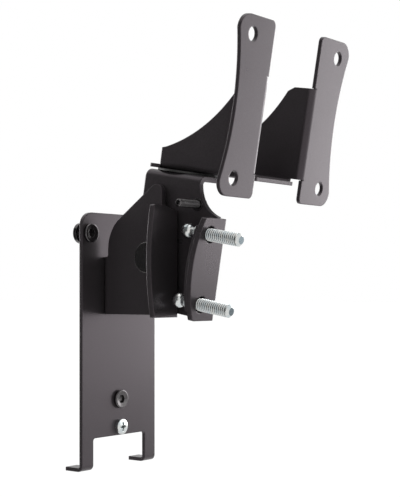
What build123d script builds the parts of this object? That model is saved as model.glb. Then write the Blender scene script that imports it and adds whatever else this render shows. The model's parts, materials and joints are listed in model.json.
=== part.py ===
from build123d import *
import os
from math import tan, radians

# Speaker wall bracket: a hook-on wall plate, a folded wall bracket, a tilting arm and a swivelling
# speaker cradle. Millimetres. +X is right as seen from the front, -Y is forward, +Z is up.
# The origin is midway between the two hanging studs, on the back face of the wall plate.

# Wall plate
plate_thickness = 2.0
plate_top = 10.9
plate_corner = 7.5
notch_top = -108.5
notch_corner = 1.5
leg_bottom = -125.4
leg_width = 8.5
hook_reach = 10.0
plate_bend = 1.2
stud_spacing = 47.0
stud_margin = 5.8
lower_screw_height = -89.0
locking_screw_height = -103.9

# Wall bracket: base on the plate, ear standing forward, flange plate across its front edge
bracket_thickness = 3.0
bracket_bend = 0.5
ear_left = -14.0
base_reach = 24.0
base_top = -12.5
base_bottom = -42.8
ear_back_gap = 4.3
ear_shoulder = 1.9
ear_slope = 35.3
ear_shoulder_radius = 20.0
ear_step_radius = 1.5
ear_front = -43.3
ear_tip_radius = 4.0
ear_flange_front = -51.2
ear_flange_left = -29.0
ear_flange_bulge = 2.9
ear_flange_top = 12.7
ear_flange_inner_top = 10.5
ear_flange_flat = 8.0
ear_flange_drop = 1.1
bracket_screw_spacing = 15.0

# Tilt pivot and the pose of the arm in the frame
pivot_forward = 33.8
pivot_height = -13.2
rest_tilt = 9.8
washer_gap = 2.0

# Arm, measured from the pivot: forward and up along its own tilted directions
arm_thickness = 3.0
arm_bend = 1.5
web_back = 12.8
web_top_radius = 1.5
web_heel_radius = 10.0
throat_front = 23.5
throat_radius = 17.5
throat_bottom = 26.0
shelf_top = 45.4
shelf_edge = 0.4
shelf_corner = 4.0
face_front = 40.5
face_margin = 8.25
face_left = -21.5
face_bulge = 5.7
face_lip = 0.6
face_hole = 8.6
screw_pitch = 35.0
screw_across = -16.5

# Strip behind the face that carries the adjusting screws
strip_thickness = 1.6
strip_margin = 4.0
strip_edge = 0.4

# Adjusting screws with ball ends
adjuster_radius = 3.3
adjuster_tip = 59.6
adjuster_neck_radius = 2.6
adjuster_neck_end = 31.5
adjuster_ball_forward = 26.6
adjuster_ball_radius = 3.8
adjuster_chamfer = 0.8

# Cross bolt through the web
cross_forward = 24.3
cross_up = 30.9
cross_length = 19.2
cross_radius = 2.0
cross_head_radius = 3.6
cross_socket = 2.5
cross_socket_depth = 1.2
cross_washer_radius = 3.2
cross_washer_thickness = 0.8

# Cradle: base, two wings and two tabs, one folded sheet
cradle_thickness = 2.0
cradle_bend = 1.5
cradle_center = 19.5
cradle_width = 42.2
spacer_thickness = 1.0
cradle_back = 18.0
wing_back = 10.4
wing_back_rise = 10.8
wing_back_radius = 2.5
wing_top = 97.3
wing_top_radius = 4.0
wing_curve_rise = 0.6
wing_curve_middle_forward = 15.5
wing_curve_middle_up = 70.8
wing_curve_end = 36.1
wing_curve_drop = 2.2
tab_front = 51.5
tab_width = 28.0
tab_waist = 4.8
tab_top = 124.5
tab_bottom = 37.5
tab_outer_radius = 7.5
tab_inner_radius = 3.0
tab_hole = 7.2
tab_hole_across = 77.0
tab_hole_up = 69.0
corner_relief = 5.0
relief_slit = 0.3
cradle_corner = 2.0
slot_corner = 1.0

# Swivel of the cradle on the shelf
swivel_wing_gap = 0.3
swivel_forward = 2.0

# Fasteners
head_radius = 5.25
head_height = 3.3
socket_across = 4.0
screw_radius = 3.0
clearance_hole = 6.4
nut_across = 10.0
nut_height = 5.2
thread_end = 0.8
end_bevel = 0.5
washer_radius = 6.0
washer_thickness = 1.6
pan_radius = 4.05
pan_height = 2.9
pan_rim = 2.2
locking_length = 8.0
recess_width = 0.9
recess_length = 4.6
recess_depth = 0.9
small_screw_radius = 2.0
pivot_head_radius = 8.1
pivot_head_height = 1.4
pivot_head_bevel = 0.4
neck_side = 6.4
fit = 0.05
running_fit = 0.08
overcut = 1.0
small_corner = 1.2
head_rim = 0.15
head_flat = 0.45
socket_floor = 0.4
nut_face = 0.97
plain_fit = 0.1
friction_washer_radius = 8.0
swivel_disc_radius = 16.5
swivel_disc_inset = 0.5
stud_neck_radius = 4.3
stud_neck_length = 2.6
stud_head_length = 2.9
stud_head_radius = 5.5
stud_lip = 0.3

# Places that follow from the sizes
slant = 0.5 ** 0.5
plate_width = stud_spacing + 2 * stud_margin
face_half_height = screw_pitch / 2 + face_margin
strip_half_height = screw_pitch / 2 + strip_margin
plate_front = -plate_thickness
ear_right = ear_left + bracket_thickness
web_left = ear_right + washer_gap
web_right = web_left + arm_thickness
shelf_bottom = shelf_top - arm_thickness
face_back = face_front - arm_thickness
cradle_bottom = shelf_top + spacer_thickness
cradle_floor = cradle_bottom + cradle_thickness
cradle_left = cradle_center - cradle_width / 2
cradle_right = cradle_center + cradle_width / 2
swivel_across = cradle_left + cradle_thickness + cradle_bend + swivel_wing_gap + washer_radius
shelf_right = swivel_across + washer_radius + shelf_edge
hole_center_up = (tab_top + tab_bottom) / 2
base_front = plate_front - bracket_thickness
base_middle = (base_top + base_bottom) / 2
bracket_screw_across = (ear_right + base_reach) / 2


def rounded_face(corners):
    # A flat face from (x, y, radius) corners, each rounded by its own radius.
    face = make_face(Polyline(*[(x, y) for x, y, _ in corners], close=True))
    for x, y, radius in corners:
        if radius > 0:
            nearest = face.vertices().sort_by_distance(Vector(x, y, 0))[0]
            face = fillet(nearest, radius)
    return face


def folded_strip(points, thickness, inside_radius):
    # The cross-section of a folded sheet along its middle line.
    line = FilletPolyline(*points, radius=inside_radius + thickness / 2)
    return trace(line, line_width=thickness)


def side_plate(face, x_low, x_high):
    # A face drawn as (forward, up), set across the object between two X places.
    plane = Plane(origin=(x_high, 0, 0), x_dir=(0, -1, 0), z_dir=(-1, 0, 0))
    return extrude(plane * face, x_high - x_low, dir=(-1, 0, 0))


def front_plate(face, forward_low, forward_high):
    # A face drawn as (across, up), set between two forward distances.
    plane = Plane(origin=(0, -forward_low, 0), x_dir=(1, 0, 0), z_dir=(0, -1, 0))
    return extrude(plane * face, forward_high - forward_low, dir=(0, -1, 0))


def level_plate(face, z_low, z_high):
    # A face drawn as (across, forward) seen from above, set between two heights.
    return extrude(Pos(0, 0, z_low) * mirror(face, about=Plane.XZ), z_high - z_low, dir=(0, 0, 1))


def across_rod(forward, up, x_low, x_high, radius):
    place = Plane(origin=(x_low, -forward, up), z_dir=(1, 0, 0))
    return extrude(place * Circle(radius), x_high - x_low)


def forward_rod(across, up, forward_low, forward_high, radius):
    place = Plane(origin=(across, -forward_low, up), z_dir=(0, -1, 0))
    return extrude(place * Circle(radius), forward_high - forward_low)


def upright_rod(across, forward, z_low, z_high, radius):
    return extrude(Pos(across, -forward, z_low) * Circle(radius), z_high - z_low)


def bowed_side(x, low, high, bulge):
    # The free edge of a flange, bowed outwards between its two ends.
    return ThreePointArc((x, low), (x - bulge, (low + high) / 2), (x, high))


def tilted(piece):
    # Places a piece drawn about the pivot into the frame, leaning forward at rest.
    return Pos(0, -pivot_forward, pivot_height) * Rot(rest_tilt, 0, 0) * piece


def button_screw(radius, length, cap_radius, cap_height, socket):
    # Button-head socket screw along +Z, its head above z = 0 and its shank below.
    rim = head_rim * cap_height
    flat = head_flat * cap_radius
    dome = TangentArc((flat, cap_height), (cap_radius, rim), tangent=(1, 0))
    top = Polyline((flat, cap_height), (0, cap_height), (0, -length))
    tip = Polyline((0, -length), (radius - end_bevel, -length), (radius, end_bevel - length), (radius, 0),
                   (cap_radius, 0), (cap_radius, rim))
    body = revolve(Plane.XZ * make_face(dome + top + tip), Axis.Z)
    recess = Pos(0, 0, socket_floor * cap_height) * RegularPolygon(socket / 2, 6, major_radius=False)
    return body - extrude(recess, cap_height)


def hex_nut(bore):
    # Hexagon nut standing on z = 0, with its corners bevelled at both ends.
    corner = nut_across / 2 + overcut
    edge = nut_face * nut_across / 2
    slope = (corner - edge) * tan(radians(30))
    block = extrude(RegularPolygon(nut_across / 2, 6, major_radius=False), nut_height)
    profile = Polyline((0, 0), (edge, 0), (corner, slope), (corner, nut_height - slope), (edge, nut_height),
                       (0, nut_height), close=True)
    turned = revolve(Plane.XZ * make_face(profile), Axis.Z)
    return (block & turned) - Cylinder(bore, 4 * nut_height)


def flat_washer(outer, bore, thickness):
    return extrude(Circle(outer) - Circle(bore), thickness)


def facing_forward(across, y, up):
    # Turns a fastener drawn along +Z to point forward from a face at y.
    return Pos(across, y, up) * Rot(90, 0, 0)


def facing_back(across, y, up):
    return Pos(across, y, up) * Rot(-90, 0, 0)


def facing_left(x):
    return Pos(x, 0, 0) * Rot(0, -90, 0)


def facing_right(x):
    return Pos(x, 0, 0) * Rot(0, 90, 0)


def wall_plate():
    middle = -plate_thickness / 2
    low = leg_bottom + plate_thickness / 2
    section = folded_strip([(-middle, plate_top), (-middle, low), (-hook_reach, low)],
                           plate_thickness, plate_bend)
    half = plate_width / 2
    sheet = side_plate(section, -half, half)
    inner = half - leg_width
    outline = rounded_face([
        (-half, plate_top, plate_corner), (half, plate_top, plate_corner), (half, leg_bottom - overcut, 0),
        (inner, leg_bottom - overcut, 0), (inner, notch_top, notch_corner),
        (-inner, notch_top, notch_corner),
        (-inner, leg_bottom - overcut, 0), (-half, leg_bottom - overcut, 0)])
    sheet = sheet & front_plate(outline, -hook_reach - overcut, plate_thickness + overcut)
    holes = [(-stud_spacing / 2, 0, clearance_hole / 2), (stud_spacing / 2, 0, clearance_hole / 2),
             (0, lower_screw_height, clearance_hole / 2),
             (0, locking_screw_height, small_screw_radius + fit)]
    for step in (-0.5, 0.5):
        holes.append((bracket_screw_across, base_middle + step * bracket_screw_spacing, clearance_hole / 2))
    for across, up, radius in holes:
        sheet = sheet - forward_rod(across, up, -overcut, plate_thickness + overcut, radius)
    return sheet


def hanging_stud(side):
    # Shoulder bush behind the plate: a neck for the keyhole and a wider head behind it.
    across = side * stud_spacing / 2
    end = stud_neck_length + stud_head_length
    profile = Polyline((0, 0), (stud_neck_radius, 0), (stud_neck_radius, stud_neck_length),
                       (stud_head_radius, stud_neck_length + stud_lip), (stud_head_radius, end - end_bevel),
                       (stud_head_radius - end_bevel, end), (0, end), close=True)
    bush = revolve(Plane.XZ * make_face(profile), Axis.Z) - Cylinder(screw_radius + fit, 4 * end)
    return facing_back(across, 0, 0) * bush


def plate_screw(across, up, length):
    screw = button_screw(screw_radius, length, head_radius, head_height, socket_across)
    return facing_forward(across, plate_front, up) * screw


def plate_nut(across, up):
    return facing_back(across, 0, up) * hex_nut(screw_radius + fit)


def locking_screw():
    # Pan-head screw with a cross recess, threaded through the plate.
    dome = TangentArc((0, pan_height), (pan_radius, pan_rim), tangent=(1, 0))
    shank = small_screw_radius
    foot = Polyline((0, pan_height), (0, -locking_length), (shank - end_bevel, -locking_length),
                    (shank, end_bevel - locking_length), (shank, 0), (pan_radius, 0),
                    (pan_radius, pan_rim))
    body = revolve(Plane.XZ * make_face(dome + foot), Axis.Z)
    slot = Box(recess_length, recess_width, 2 * recess_depth)
    body = body - Pos(0, 0, pan_height) * (slot + Rot(0, 0, 90) * slot)
    return facing_forward(0, plate_front, locking_screw_height) * body


def wall_bracket():
    # One folded sheet, base and ear, with the bowed flange plate welded across the ear's front edge.
    middle = bracket_thickness / 2
    back = -plate_front + middle
    flange_back = -ear_flange_front - bracket_thickness
    path = [(base_reach, back), (ear_left + middle, back), (ear_left + middle, flange_back)]
    low = base_bottom - ear_flange_drop
    high = ear_shoulder + (-ear_front) * tan(radians(ear_slope))
    sheet = level_plate(folded_strip(path, bracket_thickness, bracket_bend), low, high)
    ear_back = -plate_front + ear_back_gap
    crown = ear_shoulder + (-ear_front - ear_back) * tan(radians(ear_slope))
    ear = rounded_face([
        (-plate_front - overcut, base_bottom, 0), (flange_back, base_bottom, 0),
        (flange_back, ear_flange_inner_top, 0), (-ear_front, ear_flange_inner_top, ear_step_radius),
        (-ear_front, crown, ear_tip_radius), (ear_back, ear_shoulder, ear_shoulder_radius),
        (ear_back, base_top, small_corner), (-plate_front - overcut, base_top, 0)])
    sheet = sheet & side_plate(ear, ear_left - bracket_bend, base_reach + overcut)
    flange_line = bowed_side(ear_flange_left, low, ear_flange_top, ear_flange_bulge)
    flange_top = Polyline((ear_flange_left, ear_flange_top),
                          (ear_flange_left + ear_flange_flat, ear_flange_top),
                          (ear_left, ear_flange_inner_top), (ear_right, ear_flange_inner_top),
                          (ear_right, low), (ear_flange_left, low))
    flange = make_face(flange_line + flange_top)
    for height in (low, ear_flange_top):
        corner = flange.vertices().sort_by_distance(Vector(ear_flange_left, height, 0))[0]
        flange = fillet(corner, small_corner)
    sheet = sheet + front_plate(flange, flange_back, -ear_flange_front)
    place = Plane(origin=(ear_left - overcut, -pivot_forward, pivot_height), z_dir=(1, 0, 0))
    square = neck_side + 2 * plain_fit
    sheet = sheet - extrude(place * Rectangle(square, square), bracket_thickness + 2 * overcut)
    for step in (-0.5, 0.5):
        height = base_middle + step * bracket_screw_spacing
        sheet = sheet - forward_rod(bracket_screw_across, height, 0, 4 * bracket_thickness,
                                    clearance_hole / 2)
    return sheet


def bracket_screw(step):
    height = base_middle + step * bracket_screw_spacing
    length = bracket_thickness + plate_thickness + nut_height + thread_end
    screw = button_screw(screw_radius, length, head_radius, head_height, socket_across)
    return facing_forward(bracket_screw_across, base_front, height) * screw


def at_pivot(piece):
    return Pos(0, -pivot_forward, pivot_height) * piece


def pivot_bolt():
    # Low round head with a bevelled rim, square neck held in the ear, round shank to the right.
    head = extrude(Circle(pivot_head_radius), pivot_head_height)
    head = chamfer(head.faces().sort_by(Axis.Z)[-1].edges(), pivot_head_bevel)
    neck = Pos(0, 0, -bracket_thickness / 2) * Box(neck_side, neck_side, bracket_thickness)
    reach = bracket_thickness + washer_gap + arm_thickness + washer_thickness + nut_height + thread_end
    shank = extrude(Circle(screw_radius), -reach)
    shank = chamfer(shank.faces().sort_by(Axis.Z)[0].edges(), end_bevel)
    return at_pivot(facing_left(ear_left) * (head + neck + shank))


def friction_washer():
    washer = flat_washer(friction_washer_radius, screw_radius + running_fit, washer_gap)
    return at_pivot(facing_right(ear_right) * washer)


def pivot_washer():
    washer = flat_washer(washer_radius, screw_radius + fit, washer_thickness)
    return at_pivot(facing_right(web_right) * washer)


def pivot_nut():
    return at_pivot(facing_right(web_right + washer_thickness) * hex_nut(screw_radius + fit))


def arm():
    # One folded sheet, web and shelf, with the bowed face plate welded across the web's front edge.
    bend = arm_thickness + arm_bend
    web = web_left + arm_thickness / 2
    shelf_middle = shelf_top - arm_thickness / 2
    rise = folded_strip([(web, -face_half_height), (web, shelf_middle), (shelf_right, shelf_middle)],
                        arm_thickness, arm_bend)
    folded = front_plate(rise, -web_back, face_back)
    center_up = throat_bottom + throat_radius
    center_forward = throat_front + throat_radius
    throat_end = min(face_back, center_forward)
    drop = throat_radius ** 2 - (center_forward - throat_end) ** 2
    end_up = center_up - drop ** 0.5
    slope = slant * throat_radius
    throat = ThreePointArc((throat_front, center_up), (center_forward - slope, center_up - slope),
                           (throat_end, end_up))
    level = [(face_back, end_up)] if throat_end < face_back else []
    edge = Polyline((throat_end, end_up), *level, (face_back, -face_half_height),
                    (-web_back, -face_half_height), (-web_back, shelf_top), (throat_front, shelf_top),
                    (throat_front, center_up))
    web_face = make_face(throat + edge)
    for place, radius in (((-web_back, -face_half_height), web_heel_radius),
                          ((-web_back, shelf_top), web_top_radius)):
        corner = web_face.vertices().sort_by_distance(Vector(*place, 0))[0]
        web_face = fillet(corner, radius)
    web_part = side_plate(web_face, web_left, web_left + bend)
    shelf = rounded_face([
        (web_left, -web_back, web_top_radius), (web_left, throat_front, 0),
        (shelf_right, throat_front, shelf_corner), (shelf_right, -web_back, shelf_corner)])
    shelf_part = level_plate(shelf, shelf_bottom, shelf_top)
    face_line = bowed_side(face_left, -face_half_height, face_half_height, face_bulge)
    right = web_right + face_lip
    face_rest = Polyline((face_left, face_half_height), (right, face_half_height),
                         (right, -face_half_height), (face_left, -face_half_height))
    face = make_face(face_line + face_rest)
    for height in (-face_half_height, face_half_height):
        corner = face.vertices().sort_by_distance(Vector(face_left, height, 0))[0]
        face = fillet(corner, small_corner)
    body = (folded & (web_part + shelf_part)) + front_plate(face, face_back, face_front)
    for side in (-0.5, 0.5):
        body = body - forward_rod(screw_across, side * screw_pitch, face_back - overcut,
                                  face_front + overcut, face_hole / 2)
    body = body - across_rod(0, 0, web_left - overcut, web_right + overcut, screw_radius + running_fit)
    sink = cross_cone(cross_radius + fit, cross_head_radius + fit, web_right - web_left + overcut)
    body = body - Pos(0, -cross_forward, cross_up) * facing_right(web_right) * sink
    body = body - upright_rod(swivel_across, swivel_forward, shelf_bottom - overcut, shelf_top + overcut,
                              screw_radius + fit)
    return tilted(body)


def screw_strip():
    # Backing strip behind the face, following its bowed edge, tapped for the adjusting screws.
    inset = face_bulge * (strip_half_height / face_half_height) ** 2
    left = face_left - (face_bulge - inset) + strip_edge
    right = web_left - 2 * strip_edge
    line = bowed_side(left, -strip_half_height, strip_half_height, inset)
    rest = Polyline((left, strip_half_height), (right, strip_half_height), (right, -strip_half_height),
                    (left, -strip_half_height))
    strip = front_plate(make_face(line + rest), face_back - strip_thickness, face_back)
    for side in (-0.5, 0.5):
        strip = strip - forward_rod(screw_across, side * screw_pitch, 0, face_front, adjuster_radius + fit)
    return tilted(strip)


def adjusting_screw(side):
    height = side * screw_pitch
    rod = forward_rod(screw_across, height, adjuster_neck_end, adjuster_tip, adjuster_radius)
    rod = chamfer(rod.faces().sort_by(Axis.Y)[0].edges(), adjuster_chamfer)
    neck = forward_rod(screw_across, height, adjuster_ball_forward, adjuster_neck_end, adjuster_neck_radius)
    ball = Pos(screw_across, -adjuster_ball_forward, height) * Sphere(adjuster_ball_radius)
    return tilted(rod + neck + ball)


def cross_cone(radius, cap_radius, length):
    # A shank below z = 0 that widens at the top into a sunk conical head.
    profile = Polyline((0, 0), (cap_radius, 0), (radius, radius - cap_radius), (radius, -length),
                       (0, -length), close=True)
    return revolve(Plane.XZ * make_face(profile), Axis.Z)


def cross_bolt():
    # Sunk in the right face of the web, so only its threaded end shows, at the left.
    bolt = cross_cone(cross_radius, cross_head_radius, cross_length)
    bolt = chamfer(bolt.faces().sort_by(Axis.Z)[0].edges(), end_bevel)
    socket = Pos(0, 0, -cross_socket_depth) * RegularPolygon(cross_socket / 2, 6, major_radius=False)
    bolt = bolt - extrude(socket, cross_socket_depth)
    return tilted(Pos(0, -cross_forward, cross_up) * facing_right(web_right) * bolt)


def cross_washer():
    washer = flat_washer(cross_washer_radius, cross_radius + fit, cross_washer_thickness)
    return tilted(Pos(0, -cross_forward, cross_up) * facing_left(web_left) * washer)


def cradle_wing_face():
    step = cradle_floor + wing_back_rise - cradle_thickness
    start = (-wing_back + wing_back_radius, step + wing_curve_rise)
    end = (wing_curve_end, wing_top - wing_curve_drop)
    curve = ThreePointArc(start, (wing_curve_middle_forward, wing_curve_middle_up), end)
    inner = tab_front - corner_relief - cradle_thickness
    low = cradle_bottom
    lip = cradle_floor + cradle_bend
    edge = Polyline(end, (wing_curve_end + wing_top_radius, wing_top), (tab_front + overcut, wing_top),
                    (tab_front + overcut, lip), (inner, lip), (inner, low), (-wing_back, low),
                    (-wing_back, step), start)
    return make_face(curve + edge)


def cradle_tab_face(side):
    # One tab seen from the front, at the right when side is 1, with the fold line cut back.
    inner = cradle_width / 2
    outer = inner + tab_width
    line = ThreePointArc((outer, tab_bottom + tab_outer_radius), (outer - tab_waist, hole_center_up),
                         (outer, tab_top - tab_outer_radius))
    cut = (1 - slant) * tab_outer_radius
    round_top = ThreePointArc((outer, tab_top - tab_outer_radius), (outer - cut, tab_top - cut),
                              (outer - tab_outer_radius, tab_top))
    round_low = ThreePointArc((outer - tab_outer_radius, tab_bottom), (outer - cut, tab_bottom + cut),
                              (outer, tab_bottom + tab_outer_radius))
    lip = cradle_floor + cradle_bend
    rest = Polyline((outer - tab_outer_radius, tab_top), (inner, tab_top), (inner, wing_top + relief_slit),
                    (inner + cradle_bend, wing_top + relief_slit), (inner + cradle_bend, lip - relief_slit),
                    (inner, lip - relief_slit), (inner, tab_bottom), (outer - tab_outer_radius, tab_bottom))
    face = make_face(line + round_top + round_low + rest)
    for height in (tab_bottom, tab_top):
        corner = face.vertices().sort_by_distance(Vector(inner, height, 0))[0]
        face = fillet(corner, tab_inner_radius)
    if side < 0:
        face = mirror(face, about=Plane.YZ)
    return Pos(cradle_center, 0) * face


def cradle():
    middle = cradle_thickness / 2
    bend = cradle_thickness + cradle_bend
    left = cradle_left + middle
    right = cradle_right - middle
    floor_middle = cradle_bottom + middle
    rise = folded_strip([(left, wing_top), (left, floor_middle), (right, floor_middle), (right, wing_top)],
                        cradle_thickness, cradle_bend)
    folded = front_plate(rise, -wing_back, tab_front - bend)
    wings = side_plate(cradle_wing_face(), cradle_left - overcut, cradle_left + bend)
    wings = wings + side_plate(cradle_wing_face(), cradle_right - bend, cradle_right + overcut)
    inner = tab_front - corner_relief - cradle_thickness
    reach = tab_front - cradle_thickness - relief_slit
    floor = rounded_face([
        (cradle_left, -cradle_back, cradle_corner), (cradle_right, -cradle_back, cradle_corner),
        (cradle_right, -wing_back - relief_slit, 0), (cradle_right - bend, -wing_back - relief_slit, 0),
        (cradle_right - bend, inner, 0), (cradle_right - bend - slot_corner, reach, slot_corner),
        (cradle_left + bend + slot_corner, reach, slot_corner),
        (cradle_left + bend, inner, 0), (cradle_left + bend, -wing_back - relief_slit, 0),
        (cradle_left, -wing_back - relief_slit, 0)])
    body = (folded & wings) + level_plate(floor, cradle_bottom, cradle_floor)
    for side in (-1, 1):
        wing = cradle_center + side * (cradle_width / 2 - middle)
        tip = cradle_center + side * (cradle_width / 2 - cradle_thickness + bend)
        turn = folded_strip([(wing, tab_front - bend - overcut), (wing, tab_front - middle),
                             (tip, tab_front - middle)], cradle_thickness, cradle_bend)
        body = body + level_plate(turn, cradle_floor + cradle_bend, wing_top)
        body = body + front_plate(cradle_tab_face(side), tab_front - cradle_thickness, tab_front)
        for step in (-0.5, 0.5):
            across = cradle_center + side * tab_hole_across / 2
            height = hole_center_up + step * tab_hole_up
            body = body - forward_rod(across, height, tab_front - 3 * cradle_thickness, tab_front + overcut,
                                      tab_hole / 2)
    body = body - upright_rod(swivel_across, swivel_forward, cradle_bottom - overcut, cradle_floor + overcut,
                              screw_radius + running_fit)
    return tilted(body)


def at_swivel(z):
    return Pos(swivel_across, -swivel_forward, z)


def swivel_bolt():
    length = washer_thickness + cradle_thickness + spacer_thickness + arm_thickness + washer_thickness
    length = length + nut_height + thread_end
    screw = button_screw(screw_radius, length, head_radius, head_height, socket_across)
    return tilted(at_swivel(cradle_floor + washer_thickness) * screw)


def swivel_washer(z, radius, thickness):
    return tilted(at_swivel(z) * flat_washer(radius, screw_radius + fit, thickness))


def swivel_disc():
    # Friction disc between shelf and cradle, cut flat just inside the shelf's back edge.
    flat = web_back - swivel_disc_inset + swivel_forward
    disc = flat_washer(swivel_disc_radius, screw_radius + fit, spacer_thickness)
    keep = Pos(0, flat - swivel_disc_radius, 0) * Box(2 * swivel_disc_radius, 2 * swivel_disc_radius,
                                                      4 * spacer_thickness)
    return tilted(at_swivel(shelf_top) * (disc & keep))


def swivel_nut():
    return tilted(at_swivel(shelf_bottom - washer_thickness - nut_height) * hex_nut(screw_radius + fit))


stud_screw_length = plate_thickness + stud_neck_length + stud_head_length
lower_length = plate_thickness + nut_height + thread_end
nodes = {
    "wall_plate": wall_plate(),
    "hanging_stud_left": hanging_stud(-1),
    "hanging_stud_right": hanging_stud(1),
    "stud_screw_left": plate_screw(-stud_spacing / 2, 0, stud_screw_length),
    "stud_screw_right": plate_screw(stud_spacing / 2, 0, stud_screw_length),
    "lower_screw": plate_screw(0, lower_screw_height, lower_length),
    "lower_nut": plate_nut(0, lower_screw_height),
    "locking_screw": locking_screw(),
    "wall_bracket": wall_bracket(),
    "bracket_screw_lower": bracket_screw(-0.5),
    "bracket_screw_upper": bracket_screw(0.5),
    "bracket_nut_lower": plate_nut(bracket_screw_across, base_middle - bracket_screw_spacing / 2),
    "bracket_nut_upper": plate_nut(bracket_screw_across, base_middle + bracket_screw_spacing / 2),
    "pivot_bolt": pivot_bolt(),
    "friction_washer": friction_washer(),
    "pivot_washer": pivot_washer(),
    "pivot_nut": pivot_nut(),
    "arm": arm(),
    "screw_strip": screw_strip(),
    "adjusting_screw_lower": adjusting_screw(-0.5),
    "adjusting_screw_upper": adjusting_screw(0.5),
    "cross_bolt": cross_bolt(),
    "cross_washer": cross_washer(),
    "cradle": cradle(),
    "swivel_bolt": swivel_bolt(),
    "swivel_washer_upper": swivel_washer(cradle_floor, washer_radius, washer_thickness),
    "swivel_disc": swivel_disc(),
    "swivel_washer_lower": swivel_washer(shelf_bottom - washer_thickness, washer_radius, washer_thickness),
    "swivel_nut": swivel_nut(),
}

os.makedirs("parts", exist_ok=True)
for name, shape in nodes.items():
    export_step(shape, "parts/" + name + ".step")
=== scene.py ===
import json
from math import radians

import bpy
import numpy as np
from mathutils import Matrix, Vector

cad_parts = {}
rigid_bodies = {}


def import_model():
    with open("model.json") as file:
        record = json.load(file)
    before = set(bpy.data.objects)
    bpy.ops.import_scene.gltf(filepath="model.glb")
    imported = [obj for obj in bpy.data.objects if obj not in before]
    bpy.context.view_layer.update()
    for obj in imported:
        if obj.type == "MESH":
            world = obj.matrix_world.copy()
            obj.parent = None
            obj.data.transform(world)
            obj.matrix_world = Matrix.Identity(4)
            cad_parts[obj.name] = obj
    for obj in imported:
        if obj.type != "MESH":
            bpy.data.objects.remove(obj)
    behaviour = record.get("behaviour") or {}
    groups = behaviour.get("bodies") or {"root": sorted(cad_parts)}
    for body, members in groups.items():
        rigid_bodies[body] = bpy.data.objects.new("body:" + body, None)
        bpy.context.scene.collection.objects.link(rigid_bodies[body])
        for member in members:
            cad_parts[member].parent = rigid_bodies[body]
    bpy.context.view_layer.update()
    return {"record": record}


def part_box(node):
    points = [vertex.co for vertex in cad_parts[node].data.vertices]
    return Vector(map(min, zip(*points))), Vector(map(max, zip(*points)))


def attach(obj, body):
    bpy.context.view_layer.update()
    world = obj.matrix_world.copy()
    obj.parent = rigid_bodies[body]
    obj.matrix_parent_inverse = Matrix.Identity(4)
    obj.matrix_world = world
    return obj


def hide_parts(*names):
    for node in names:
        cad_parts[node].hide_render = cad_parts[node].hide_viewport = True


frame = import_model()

print("stage: frame loaded")

# Places are in metres from the origin between the hanging studs, screw sizes in millimetres
millimetre = 0.001
acrossWay = np.array([1.0, 0.0, 0.0])
frontWay = np.array([0.0, -1.0, 0.0])
skyWay = np.array([0.0, 0.0, 1.0])

# The arm's pivot, and forward and up on the tilted arm
tiltAngle = radians(9.8)
pivotPlace = np.array([0.0, -0.0338, -0.0132])
forwardWay = np.array([0.0, -np.cos(tiltAngle), -np.sin(tiltAngle)])
upWay = np.array([0.0, -np.sin(tiltAngle), np.cos(tiltAngle)])


def onArm(across, forward, up):
    # A place on the tilted arm: so far across, forward and up from the pivot, in millimetres
    return pivotPlace + millimetre * (across * acrossWay + forward * forwardWay + up * upWay)


# Materials

wholeSpan = (0.0, 1.0)
noiseSpan = (0.3, 0.7)  # the middle of the noise, where nearly all of it lies
hollowSpan = (0.35, 0.95)  # how open a groove and a bare face are
hollowSamples = 8
edgeSamples = 6
white = (1.0, 1.0, 1.0, 1.0)


def newMaterial(name):
    material = bpy.data.materials.new(name)
    material.use_nodes = True
    return material, material.node_tree, material.node_tree.nodes["Principled BSDF"]


def objectPlace(tree):
    return tree.nodes.new("ShaderNodeTexCoord").outputs["Object"]


def stretched(tree, value, span, target):
    # Carries a value over from one span to another, held at both ends
    stretch = tree.nodes.new("ShaderNodeMapRange")
    stretch.inputs["From Min"].default_value = span[0]
    stretch.inputs["From Max"].default_value = span[1]
    stretch.inputs["To Min"].default_value = target[0]
    stretch.inputs["To Max"].default_value = target[1]
    tree.links.new(value, stretch.inputs["Value"])
    return stretch.outputs["Result"]


def noiseBetween(tree, place, scale, detail, target):
    # Noise on object coordinates, spread between two values
    noise = tree.nodes.new("ShaderNodeTexNoise")
    noise.inputs["Scale"].default_value = scale
    noise.inputs["Detail"].default_value = detail
    tree.links.new(place, noise.inputs["Vector"])
    return stretched(tree, noise.outputs["Fac"], noiseSpan, target)


def colourMix(tree, share, first, second):
    # From the first colour to the second, each a plain colour or a socket
    mix = tree.nodes.new("ShaderNodeMix")
    mix.data_type = "RGBA"
    tree.links.new(share, mix.inputs["Factor"])
    for colour, socket in ((first, mix.inputs[6]), (second, mix.inputs[7])):  # the sockets of a colour mix
        if isinstance(colour, tuple):
            socket.default_value = (*colour, 1.0)
        else:
            tree.links.new(colour, socket)
    return mix.outputs[2]


def hollowShade(tree, colour, reach, shade):
    # Paints shade into the colour in grooves and recesses, by how much of the near view is shut off
    paintedShade = tree.nodes.new("ShaderNodeAmbientOcclusion")
    paintedShade.samples = hollowSamples
    paintedShade.only_local = True
    paintedShade.inputs["Distance"].default_value = reach
    return colourMix(tree, stretched(tree, paintedShade.outputs["AO"], hollowSpan, wholeSpan), shade, colour)


def softEdges(tree, height, look):
    # Worn-round edges from the bevel of the normal, then a fine bump over them
    bevel = tree.nodes.new("ShaderNodeBevel")
    bevel.samples = edgeSamples
    bevel.inputs["Radius"].default_value = look["edge"]
    bump = tree.nodes.new("ShaderNodeBump")
    bump.inputs["Strength"].default_value = look["bump"]
    bump.inputs["Distance"].default_value = look["bumpDepth"]
    tree.links.new(height, bump.inputs["Height"])
    tree.links.new(bevel.outputs["Normal"], bump.inputs["Normal"])
    return bump.outputs["Normal"]


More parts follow.
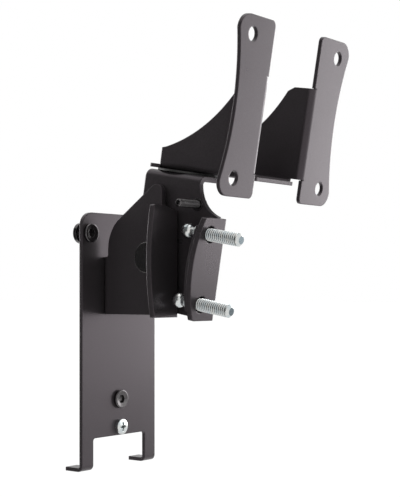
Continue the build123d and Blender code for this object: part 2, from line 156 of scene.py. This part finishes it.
def madeFinish(name, look):
    # Two tones by one noise and gloss by another, with painted shade in hollows and a fine bump
    material, tree, shader = newMaterial(name)
    place = objectPlace(tree)
    grain = noiseBetween(tree, place, look["grain"], look["grainDetail"], wholeSpan)
    gloss = noiseBetween(tree, place, look["haze"], look["hazeDetail"], look["roughness"])
    tone = colourMix(tree, grain, look["dark"], look["light"])
    if "paintedShade" in look:
        tone = hollowShade(tree, tone, look["reach"], look["paintedShade"])
    tree.links.new(tone, shader.inputs["Base Color"])
    tree.links.new(gloss, shader.inputs["Roughness"])
    shader.inputs["Metallic"].default_value = look["metal"]
    shader.inputs["Specular Tint"].default_value = look["gleam"]
    height = gloss if look["bumpBy"] == "haze" else grain
    tree.links.new(softEdges(tree, height, look), shader.inputs["Normal"])
    return material


# Satin black powder coat: fine orange peel and a slow drift in gloss
powderCoat = dict(
    dark=(0.019, 0.0172, 0.0180), light=(0.030, 0.0272, 0.0288), grain=1500.0, grainDetail=3.0,
    haze=28.0, hazeDetail=2.0, roughness=(0.27, 0.36), metal=0.0, gleam=(1.0, 0.845, 0.945, 1.0),
    edge=0.0008, bump=0.12, bumpDepth=0.00004, bumpBy="grain")

# Blackened steel with a soft shine; painted shade darkens its sockets nearly to black
blackenedSteel = dict(
    dark=(0.072, 0.068, 0.070), light=(0.112, 0.106, 0.108), grain=900.0, grainDetail=4.0,
    paintedShade=(0.015, 0.015, 0.015), reach=0.0025,
    haze=260.0, hazeDetail=3.0, roughness=(0.13, 0.24), metal=1.0, gleam=white,
    edge=0.0003, bump=0.08, bumpDepth=0.00002, bumpBy="grain")

# Bright zinc: cool and warm patches with a light haze, and painted shade in the thread's grooves and
# recesses
zincPlate = dict(
    dark=(0.52, 0.575, 0.595), light=(0.67, 0.665, 0.64), grain=420.0, grainDetail=3.0,
    paintedShade=(0.07, 0.075, 0.08), reach=0.0008,
    haze=1300.0, hazeDetail=4.0, roughness=(0.14, 0.30), metal=1.0, gleam=white,
    edge=0.00015, bump=0.05, bumpDepth=0.00002, bumpBy="haze")

# Dull dark nylon for the friction washers
darkNylon = dict(
    dark=(0.020, 0.020, 0.020), light=(0.034, 0.033, 0.032), grain=700.0, grainDetail=3.0,
    haze=300.0, hazeDetail=2.0, roughness=(0.45, 0.6), metal=0.0, gleam=white,
    edge=0.0002, bump=0.1, bumpDepth=0.00003, bumpBy="grain")

finishes = {
    "black_plate": madeFinish("satinBlackCoat", powderCoat),
    "black_fastener": madeFinish("blackenedSteel", blackenedSteel),
    "zinc_fastener": madeFinish("brightZinc", zincPlate),
    "dark_washer": madeFinish("darkNylon", darkNylon)}

for part in frame["record"]["subparts"]:
    solid = bpy.data.objects[part["node"]]
    solid.data.materials.clear()
    solid.data.materials.append(finishes[part["material_slot"]])


def fromPivotAxis(tree, place):
    # Distance from the pivot's axis: the length of the offset with its share across left out
    flat = tree.nodes.new("ShaderNodeVectorMath")
    flat.operation = "MULTIPLY_ADD"
    flat.inputs[1].default_value = (0.0, 1.0, 1.0)
    flat.inputs[2].default_value = (0.0, -pivotPlace[1], -pivotPlace[2])
    tree.links.new(place, flat.inputs[0])
    length = tree.nodes.new("ShaderNodeVectorMath")
    length.operation = "LENGTH"
    tree.links.new(flat.outputs["Vector"], length.inputs[0])
    return length.outputs["Value"]


def forwardOfPivot(tree, place):
    # How far forward of the pivot along the tilted arm
    offset = tree.nodes.new("ShaderNodeVectorMath")
    offset.operation = "SUBTRACT"
    offset.inputs[1].default_value = tuple(pivotPlace)
    tree.links.new(place, offset.inputs[0])
    along = tree.nodes.new("ShaderNodeVectorMath")
    along.operation = "DOT_PRODUCT"
    along.inputs[1].default_value = tuple(forwardWay)
    tree.links.new(offset.outputs["Vector"], along.inputs[0])
    return along.outputs["Value"]


# A painted highlight ring on the pivot head's rim, and the cut ends of the adjusting screws: start and
# full in millimetres
paintedRimHighlight = dict(start=7.5, full=7.9, tone=(0.19, 0.185, 0.18), metal=0.0)
cutEnd = dict(start=59.54, full=59.58, tone=(0.10, 0.125, 0.14), metal=0.7)


def retinted(slot, name, measure, look):
    # A copy of a finish that turns to another tone where a measured distance passes from start to full
    material = finishes[slot].copy()
    material.name = name
    tree = material.node_tree
    shader = tree.nodes["Principled BSDF"]
    span = (look["start"] * millimetre, look["full"] * millimetre)
    share = stretched(tree, measure(tree, objectPlace(tree)), span, wholeSpan)
    plain = shader.inputs["Base Color"].links[0].from_socket
    tree.links.new(colourMix(tree, share, plain, look["tone"]), shader.inputs["Base Color"])
    metal = stretched(tree, share, wholeSpan, (1.0, look["metal"]))
    tree.links.new(metal, shader.inputs["Metallic"])
    return material


# The pivot bolt's steel with a lighter ring on its rim: a painted highlight
rimHighlightSteel = retinted("black_fastener", "rimHighlightSteel", fromPivotAxis, paintedRimHighlight)
cutEndZinc = retinted("zinc_fastener", "cutEndZinc", forwardOfPivot, cutEnd)

# Screws: each is one closed surface, rows of radius and height turned round its axis

screwColumns = 72
aroundAngles = np.linspace(0.0, 2.0 * np.pi, screwColumns, endpoint=False)
sharpAngle = radians(38.0)
uprightLimit = 0.9  # an axis with more than this share upwards counts as upright
rimSteps = 9
threadForm = dict(rowsPerTurn=12, fewestRows=8, slope=1.35, root=0.12, fade=0.6)
shankEnd = dict(middle=0.7, flat=0.5, bevel=0.4)


def roundRow(radius, height):
    return np.full(screwColumns, float(radius)), np.full(screwColumns, float(height))


def hexRow(acrossFlats, height):
    # Distance to a hexagon's side: half its width over the cosine of the angle from the side's middle
    sector = np.pi / 3.0
    offset = np.mod(aroundAngles, sector) - sector / 2.0
    return 0.5 * acrossFlats / np.cos(offset), np.full(screwColumns, float(height))


def squareRow(side, height):
    # Distance to a square's side: half its width over the larger of the sine and cosine
    larger = np.maximum(np.abs(np.cos(aroundAngles)), np.abs(np.sin(aroundAngles)))
    return 0.5 * side / larger, np.full(screwColumns, float(height))


def threadRows(look, low, high):
    # A helix: the groove's depth follows a triangle wave of height over pitch less the turn,
    # cut off at crest and root, and fades in over part of a pitch at both ends
    form = threadForm
    pitch = look["pitch"]
    count = max(form["fewestRows"], int((high - low) / pitch * form["rowsPerTurn"]))
    heights = np.linspace(low, high, count)
    phase = np.mod(heights[:, None] / pitch - aroundAngles[None, :] / (2.0 * np.pi), 1.0)
    wave = np.clip(np.abs(2.0 * phase - 1.0) * form["slope"] - form["root"], 0.0, 1.0)
    fromEnds = np.minimum(heights - low, high - heights)
    fade = np.clip(fromEnds / (form["fade"] * pitch), 0.0, 1.0)[:, None]
    radii = look["radius"] - look["depth"] * (1.0 - wave) * fade
    return radii, np.broadcast_to(heights[:, None], radii.shape)


def shankRows(look, length, top):
    # A flat tip, its bevel, and the thread up to a height under the head
    end = shankEnd
    return [
        roundRow(look["radius"] - end["middle"], -length),
        roundRow(look["radius"] - end["flat"], -length),
        threadRows(look, end["bevel"] - length, top)]


def rimRows(look):
    # The head's rounded rim: a quarter ellipse up to its flat top
    inner = look["cap"] - look["rim"]
    foot = look["capHeight"] - look["rim"]
    turn = np.linspace(0.0, np.pi / 2.0, rimSteps)
    return [roundRow(inner + (look["cap"] - inner) * c, foot + (look["capHeight"] - foot) * s)
            for c, s in zip(np.cos(turn), np.sin(turn))]


def turnedPiece(node, rows, place, axis, body, material):
    # Rows become rings round the axis: place, plus radius times the ring, plus height times the axis;
    # a pole closes each end
    radii = np.vstack([np.atleast_2d(r) for r, _ in rows])
    heights = np.vstack([np.atleast_2d(h) for _, h in rows])
    rowCount = radii.shape[0]
    axis = axis / np.linalg.norm(axis)
    turnFrom = acrossWay if abs(axis[2]) >= uprightLimit else skyWay
    side = np.cross(axis, turnFrom)
    side = side / np.linalg.norm(side)
    other = np.cross(axis, side)
    ring = np.cos(aroundAngles)[None, :, None] * side + np.sin(aroundAngles)[None, :, None] * other
    grid = place + millimetre * (radii[:, :, None] * ring + heights[:, :, None] * axis)
    poles = place + millimetre * np.array([heights[0].mean(), heights[-1].mean()])[:, None] * axis
    points = np.vstack([grid.reshape(-1, 3), poles])
    row = np.arange(rowCount - 1)[:, None] * screwColumns
    column = np.arange(screwColumns)[None, :]
    after = (column + 1) % screwColumns
    quads = np.stack([row + column, row + after, row + screwColumns + after, row + screwColumns + column],
                     axis=-1).reshape(-1, 4)
    firstPole = rowCount * screwColumns
    lastRow = (rowCount - 1) * screwColumns
    column = column[0]
    after = after[0]
    lowFan = np.stack([np.full(screwColumns, firstPole), after, column], axis=-1)
    highFan = np.stack([np.full(screwColumns, firstPole + 1), lastRow + column, lastRow + after], axis=-1)
    mesh = bpy.data.meshes.new(node + "Thread")
    mesh.from_pydata(points.tolist(), [], quads.tolist() + lowFan.tolist() + highFan.tolist())
    mesh.validate()
    mesh.polygons.foreach_set("use_smooth", np.ones(len(mesh.polygons), dtype=bool))
    mesh.set_sharp_from_angle(angle=sharpAngle)
    mesh.materials.append(material)
    piece = bpy.data.objects.new(node + "Thread", mesh)
    bpy.context.scene.collection.objects.link(piece)
    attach(piece, body)
    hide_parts(node)


# Distances forward, across and up are from the pivot; the two screws lie equally far above and below it
adjuster = dict(
    radius=3.3, pitch=1.2, depth=0.62, ball=3.8, ballRows=20, ballPole=0.02, ballForward=26.6,
    neck=2.6, neckEnd=31.5, shoulder=0.1, threadStart=0.4, tip=59.6,
    bevel=1.3, end=1.95, lip=0.08, lipHeight=0.1, endMiddle=0.3, across=-16.5, up=17.5)


def adjustingScrew(node, side):
    # A ball, a short neck, the thread, and a bevelled end with a flat cut face
    look = adjuster
    neckAngle = np.arcsin(look["neck"] / look["ball"])
    ballTurn = np.linspace(look["ballPole"], np.pi - neckAngle, look["ballRows"])
    rows = [roundRow(look["ball"] * np.sin(a), -look["ball"] * np.cos(a)) for a in ballTurn]
    length = look["tip"] - look["ballForward"]
    neckEnd = look["neckEnd"] - look["ballForward"]
    rows.append(roundRow(look["neck"], neckEnd))
    rows.append(roundRow(look["radius"] - look["depth"], neckEnd + look["shoulder"]))
    rows.append(threadRows(look, neckEnd + look["threadStart"], length - look["bevel"]))
    rows.append(roundRow(look["end"] + look["lip"], length - look["lipHeight"]))
    rows.append(roundRow(look["end"], length))
    rows.append(roundRow(look["endMiddle"], length))
    place = onArm(look["across"], look["ballForward"], side * look["up"])
    turnedPiece(node, rows, place, forwardWay, "tilting_arm", cutEndZinc)


adjustingScrew("adjusting_screw_lower", -1)
adjustingScrew("adjusting_screw_upper", 1)

buttonM6 = dict(
    radius=3.0, pitch=1.0, depth=0.5, threadGap=0.3, cap=5.05, capHeight=2.1, rim=0.75, underside=0.25,
    dish=0.6, dishEnd=2.7, socket=4.2, socketDepth=1.8, point=0.5, pointDepth=0.35)


def buttonScrew(node, length, place, axis, body):
    # From the tip up: bevel, thread, underside, rounded rim, and a dished top with a hexagon socket
    look = buttonM6
    floor = look["capHeight"] - look["socketDepth"]
    dishFloor = look["capHeight"] - look["dish"]
    rows = shankRows(look, length, -look["threadGap"])
    rows.append(roundRow(look["radius"], 0.0))
    rows.append(roundRow(look["cap"] - look["underside"], 0.0))
    rows += rimRows(look)
    rows.append(roundRow(look["dishEnd"], dishFloor))
    rows.append(hexRow(look["socket"], dishFloor))
    rows.append(hexRow(look["socket"], floor))
    rows.append(roundRow(look["point"], floor - look["pointDepth"]))
    turnedPiece(node, rows, place, axis, body, finishes["black_fastener"])


# Faces that the heads rest on: the fronts of the plate and of the bracket's base, and the ear's left
plateFace = -0.002
baseFace = plateFace - 0.003
earFace = -0.014

# Screws in the plate: place across and up in metres, and length in millimetres
plateScrews = {
    "stud_screw_left": (-0.0235, 0.0, 7.5),
    "stud_screw_right": (0.0235, 0.0, 7.5),
    "lower_screw": (0.0, -0.089, 8.0)}
for node, (across, up, length) in plateScrews.items():
    buttonScrew(node, length, np.array([across, plateFace, up]), frontWay, "wall")

bracketScrewLength = 11.0
for node in ("bracket_screw_lower", "bracket_screw_upper"):
    low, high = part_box(node)
    middle = 0.5 * (np.array(low) + np.array(high))
    place = np.array([middle[0], baseFace, middle[2]])
    buttonScrew(node, bracketScrewLength, place, frontWay, "wall")

# Across, forward and up are from the pivot, and the length is under the head
swivelBolt = dict(across=8.2, forward=2.0, up=50.0, length=15.2)
swivelPlace = onArm(swivelBolt["across"], swivelBolt["forward"], swivelBolt["up"])
buttonScrew("swivel_bolt", swivelBolt["length"], swivelPlace, upWay, "tilting_arm")

# Across, forward and up are from the pivot
sunkM4 = dict(
    radius=2.0, pitch=0.7, depth=0.35, threadGap=2.0, length=19.2, cap=3.6, land=0.1,
    socket=2.5, socketDepth=1.2, point=0.4, pointDepth=0.3,
    endSocket=1.9, endFloor=1.6, endDepth=0.7, endFlat=0.5, endBevel=0.5,
    across=-6.0, forward=24.3, up=30.9)


def sunkBolt(node):
    # Thread, cone and flat top with its socket, and a small hexagon recess in the threaded end
    look = sunkM4
    length = look["length"]
    rim = look["cap"] - look["land"]
    rows = [hexRow(look["endFloor"], look["endDepth"] - length), hexRow(look["endSocket"], -length)]
    rows.append(roundRow(look["radius"] - look["endFlat"], -length))
    rows.append(threadRows(look, look["endBevel"] - length, -look["threadGap"]))
    rows.append(roundRow(look["radius"], look["radius"] - look["cap"]))
    rows.append(roundRow(rim, -look["land"]))
    rows.append(roundRow(rim, 0.0))
    rows.append(hexRow(look["socket"], 0.0))
    rows.append(hexRow(look["socket"], -look["socketDepth"]))
    rows.append(roundRow(look["point"], -look["socketDepth"] - look["pointDepth"]))
    place = onArm(look["across"], look["forward"], look["up"])
    turnedPiece(node, rows, place, acrossWay, "tilting_arm", finishes["black_fastener"])


sunkBolt("cross_bolt")

pivotM6 = dict(
    radius=3.0, pitch=1.0, depth=0.5, threadStart=8.0, length=15.6, neck=6.4, neckLength=3.0,
    cap=8.1, capHeight=1.4, rim=0.7, underside=0.1)


def pivotBolt(node):
    # Thread, plain shank, square neck and a low flat head with a rounded rim
    look = pivotM6
    rows = shankRows(look, look["length"], -look["threadStart"])
    rows.append(roundRow(look["radius"], -look["neckLength"]))
    rows.append(squareRow(look["neck"], -look["neckLength"]))
    rows.append(squareRow(look["neck"], 0.0))
    rows.append(roundRow(look["cap"] - look["underside"], 0.0))
    rows += rimRows(look)
    place = np.array([earFace, pivotPlace[1], pivotPlace[2]])
    turnedPiece(node, rows, place, -acrossWay, "wall", rimHighlightSteel)


pivotBolt("pivot_bolt")

panM4 = dict(
    radius=2.0, pitch=0.7, depth=0.35, threadGap=0.2, length=8.0, cap=4.05, capHeight=2.9, rim=2.2,
    chamfer=0.15, reach=2.4, width=0.5, recess=1.9, wall=0.12, slope=0.6, topRows=40)


def crossRecessTop(look):
    # The head's top: a crown that falls with the square of the share of its radius, less the recess
    # where a point lies within either bar of the cross
    rows = []
    for share in np.linspace(1.0, 0.0, look["topRows"])[1:-1]:
        radius = look["cap"] * share
        across = radius * np.cos(aroundAngles)
        along = radius * np.sin(aroundAngles)
        nearBar = np.minimum(np.abs(across), np.abs(along))
        farther = np.maximum(np.abs(across), np.abs(along))
        wall = np.clip((look["width"] + look["wall"] - nearBar) / (2.0 * look["wall"]), 0.0, 1.0)
        stop = np.clip((look["reach"] - farther) / look["slope"], 0.0, 1.0)
        crown = look["capHeight"] - (look["capHeight"] - look["rim"]) * share ** 2
        rows.append((np.full(screwColumns, radius), crown - look["recess"] * wall * stop))
    return rows


def panScrew(node, place):
    # Thread, straight sides, and the crowned top with its cross recess
    look = panM4
    rows = shankRows(look, look["length"], -look["threadGap"])
    rows.append(roundRow(look["radius"], 0.0))
    rows.append(roundRow(look["cap"] - look["chamfer"], 0.0))
    rows.append(roundRow(look["cap"], look["chamfer"]))
    rows.append(roundRow(look["cap"], look["rim"]))
    rows += crossRecessTop(look)
    turnedPiece(node, rows, place, frontWay, "wall", finishes["zinc_fastener"])


panScrew("locking_screw", np.array([0.0, plateFace, -0.1039]))
print("stage: screws made")

# Camera, floor and light

photoSize = (400, 497)
lens = dict(focalPixels=1170.6, horizonRow=289.6, place=(-0.4733, -0.4270, -0.0298), azimuth=-52.0,
            sensorWidth=36.0)


def photoCamera():
    # A level camera: its shift alone sets the row of the horizon
    data = bpy.data.cameras.new("photoCamera")
    data.sensor_fit = "HORIZONTAL"
    data.sensor_width = lens["sensorWidth"]
    data.lens = lens["focalPixels"] * lens["sensorWidth"] / photoSize[0]
    data.shift_y = (lens["horizonRow"] - photoSize[1] / 2.0) / photoSize[0]
    camera = bpy.data.objects.new("photoCamera", data)
    camera.location = lens["place"]
    camera.rotation_euler = (radians(90.0), 0.0, radians(lens["azimuth"]))
    bpy.context.scene.collection.objects.link(camera)
    bpy.context.scene.camera = camera


studio = dict(
    ambient=0.65, floorStrength=1.05, floorHeight=-0.150, floorHalf=9.0, floorColour=(0.9, 0.9, 0.9, 1.0),
    floorGlow=0.93, roughness=0.9)

# The upright screen at the left and the mat at its foot, in metres
screen = dict(
    colour=(0.10, 0.10, 0.10, 1.0), left=-0.75, foot=-0.149, top=1.2, front=-0.25, back=2.2,
    matRight=-0.06, matFront=0.02, matBack=1.6)


def seenDirectly(tree):
    # One where the camera, a reflection or glass looks, and nought for the light itself
    rays = tree.nodes.new("ShaderNodeLightPath")
    level = rays.outputs["Is Camera Ray"]
    for other in ("Is Glossy Ray", "Is Transmission Ray"):
        larger = tree.nodes.new("ShaderNodeMath")
        larger.operation = "MAXIMUM"
        tree.links.new(level, larger.inputs[0])
        tree.links.new(rays.outputs[other], larger.inputs[1])
        level = larger.outputs[0]
    return level


def studioWorld():
    world = bpy.data.worlds.new("studio")
    world.use_nodes = True
    bpy.context.scene.world = world
    tree = world.node_tree
    back = tree.nodes["Background"]
    back.inputs["Color"].default_value = white
    strength = stretched(tree, seenDirectly(tree), wholeSpan, (studio["ambient"], 1.0))
    tree.links.new(strength, back.inputs["Strength"])


def flatPanel(name, corners, material):
    mesh = bpy.data.meshes.new(name)
    mesh.from_pydata(corners, [], [(0, 1, 2, 3)])
    mesh.materials.append(material)
    panel = bpy.data.objects.new(name, mesh)
    bpy.context.scene.collection.objects.link(panel)
    return panel


def paleFloor():
    # A pale floor, nearly white to the eye, that still takes the object's shadow
    material, tree, shader = newMaterial("paleFloor")
    shader.inputs["Base Color"].default_value = studio["floorColour"]
    shader.inputs["Roughness"].default_value = studio["roughness"]
    glow = tree.nodes.new("ShaderNodeEmission")
    glow.inputs["Strength"].default_value = studio["floorStrength"]
    mix = tree.nodes.new("ShaderNodeMixShader")
    share = stretched(tree, seenDirectly(tree), wholeSpan, (0.0, studio["floorGlow"]))
    tree.links.new(share, mix.inputs["Fac"])
    tree.links.new(shader.outputs["BSDF"], mix.inputs[1])
    tree.links.new(glow.outputs["Emission"], mix.inputs[2])
    tree.links.new(mix.outputs["Shader"], tree.nodes["Material Output"].inputs["Surface"])
    half = studio["floorHalf"]
    level = studio["floorHeight"]
    corners = [(-half, -half, level), (half, -half, level), (half, half, level), (-half, half, level)]
    flatPanel("floor", corners, material)


def darkScreen():
    # A dark screen and mat at the left, out of view, that the left-hand faces mirror
    material, _, shader = newMaterial("darkScreen")
    shader.inputs["Base Color"].default_value = screen["colour"]
    shader.inputs["Roughness"].default_value = studio["roughness"]
    left, foot, top = screen["left"], screen["foot"], screen["top"]
    front, back = screen["front"], screen["back"]
    upright = [(left, front, foot), (left, back, foot), (left, back, top), (left, front, top)]
    right, front, back = screen["matRight"], screen["matFront"], screen["matBack"]
    level = [(left, front, foot), (right, front, foot), (right, back, foot), (left, back, foot)]
    for name, corners in (("darkScreen", upright), ("darkMat", level)):
        panel = flatPanel(name, corners, material)
        panel.visible_camera = False
        panel.visible_diffuse = False
        panel.visible_shadow = False


def softLight(name, place, target, width, height, power):
    data = bpy.data.lights.new(name, "AREA")
    data.shape = "RECTANGLE"
    data.size = width
    data.size_y = height
    data.energy = power
    lamp = bpy.data.objects.new(name, data)
    lamp.location = place
    lamp.rotation_euler = (Vector(target) - Vector(place)).to_track_quat("-Z", "Y").to_euler()
    bpy.context.scene.collection.objects.link(lamp)


# Name, place, where it points, width and height in metres, power in watts
partMiddle = (0.0, -0.04, 0.0)
softPanels = [
    ("keyRight", (1.1, -0.95, 0.35), partMiddle, 1.3, 1.3, 3.9),
    ("sidePanel", (0.72, -0.34, 0.12), (0.05, -0.08, 0.04), 0.35, 0.5, 1.9),
    ("lowPanel", (0.72, -0.62, -0.14), (0.72, -0.62, 1.0), 0.5, 0.45, 1.5),
    ("rimPanel", (-0.25, 1.1, 0.0), partMiddle, 0.25, 0.9, 4.2),
    ("edgePanel", (0.8, 0.0, 0.0), (0.0, -0.01, 0.0), 0.45, 0.8, 4.5),
    ("topLight", (0.1, -0.2, 1.2), partMiddle, 0.9, 0.9, 3.0)]

photoCamera()
studioWorld()
paleFloor()
darkScreen()
for panel in softPanels:
    softLight(*panel)
bpy.context.scene.view_settings.view_transform = "Standard"
print("stage: light and camera set")
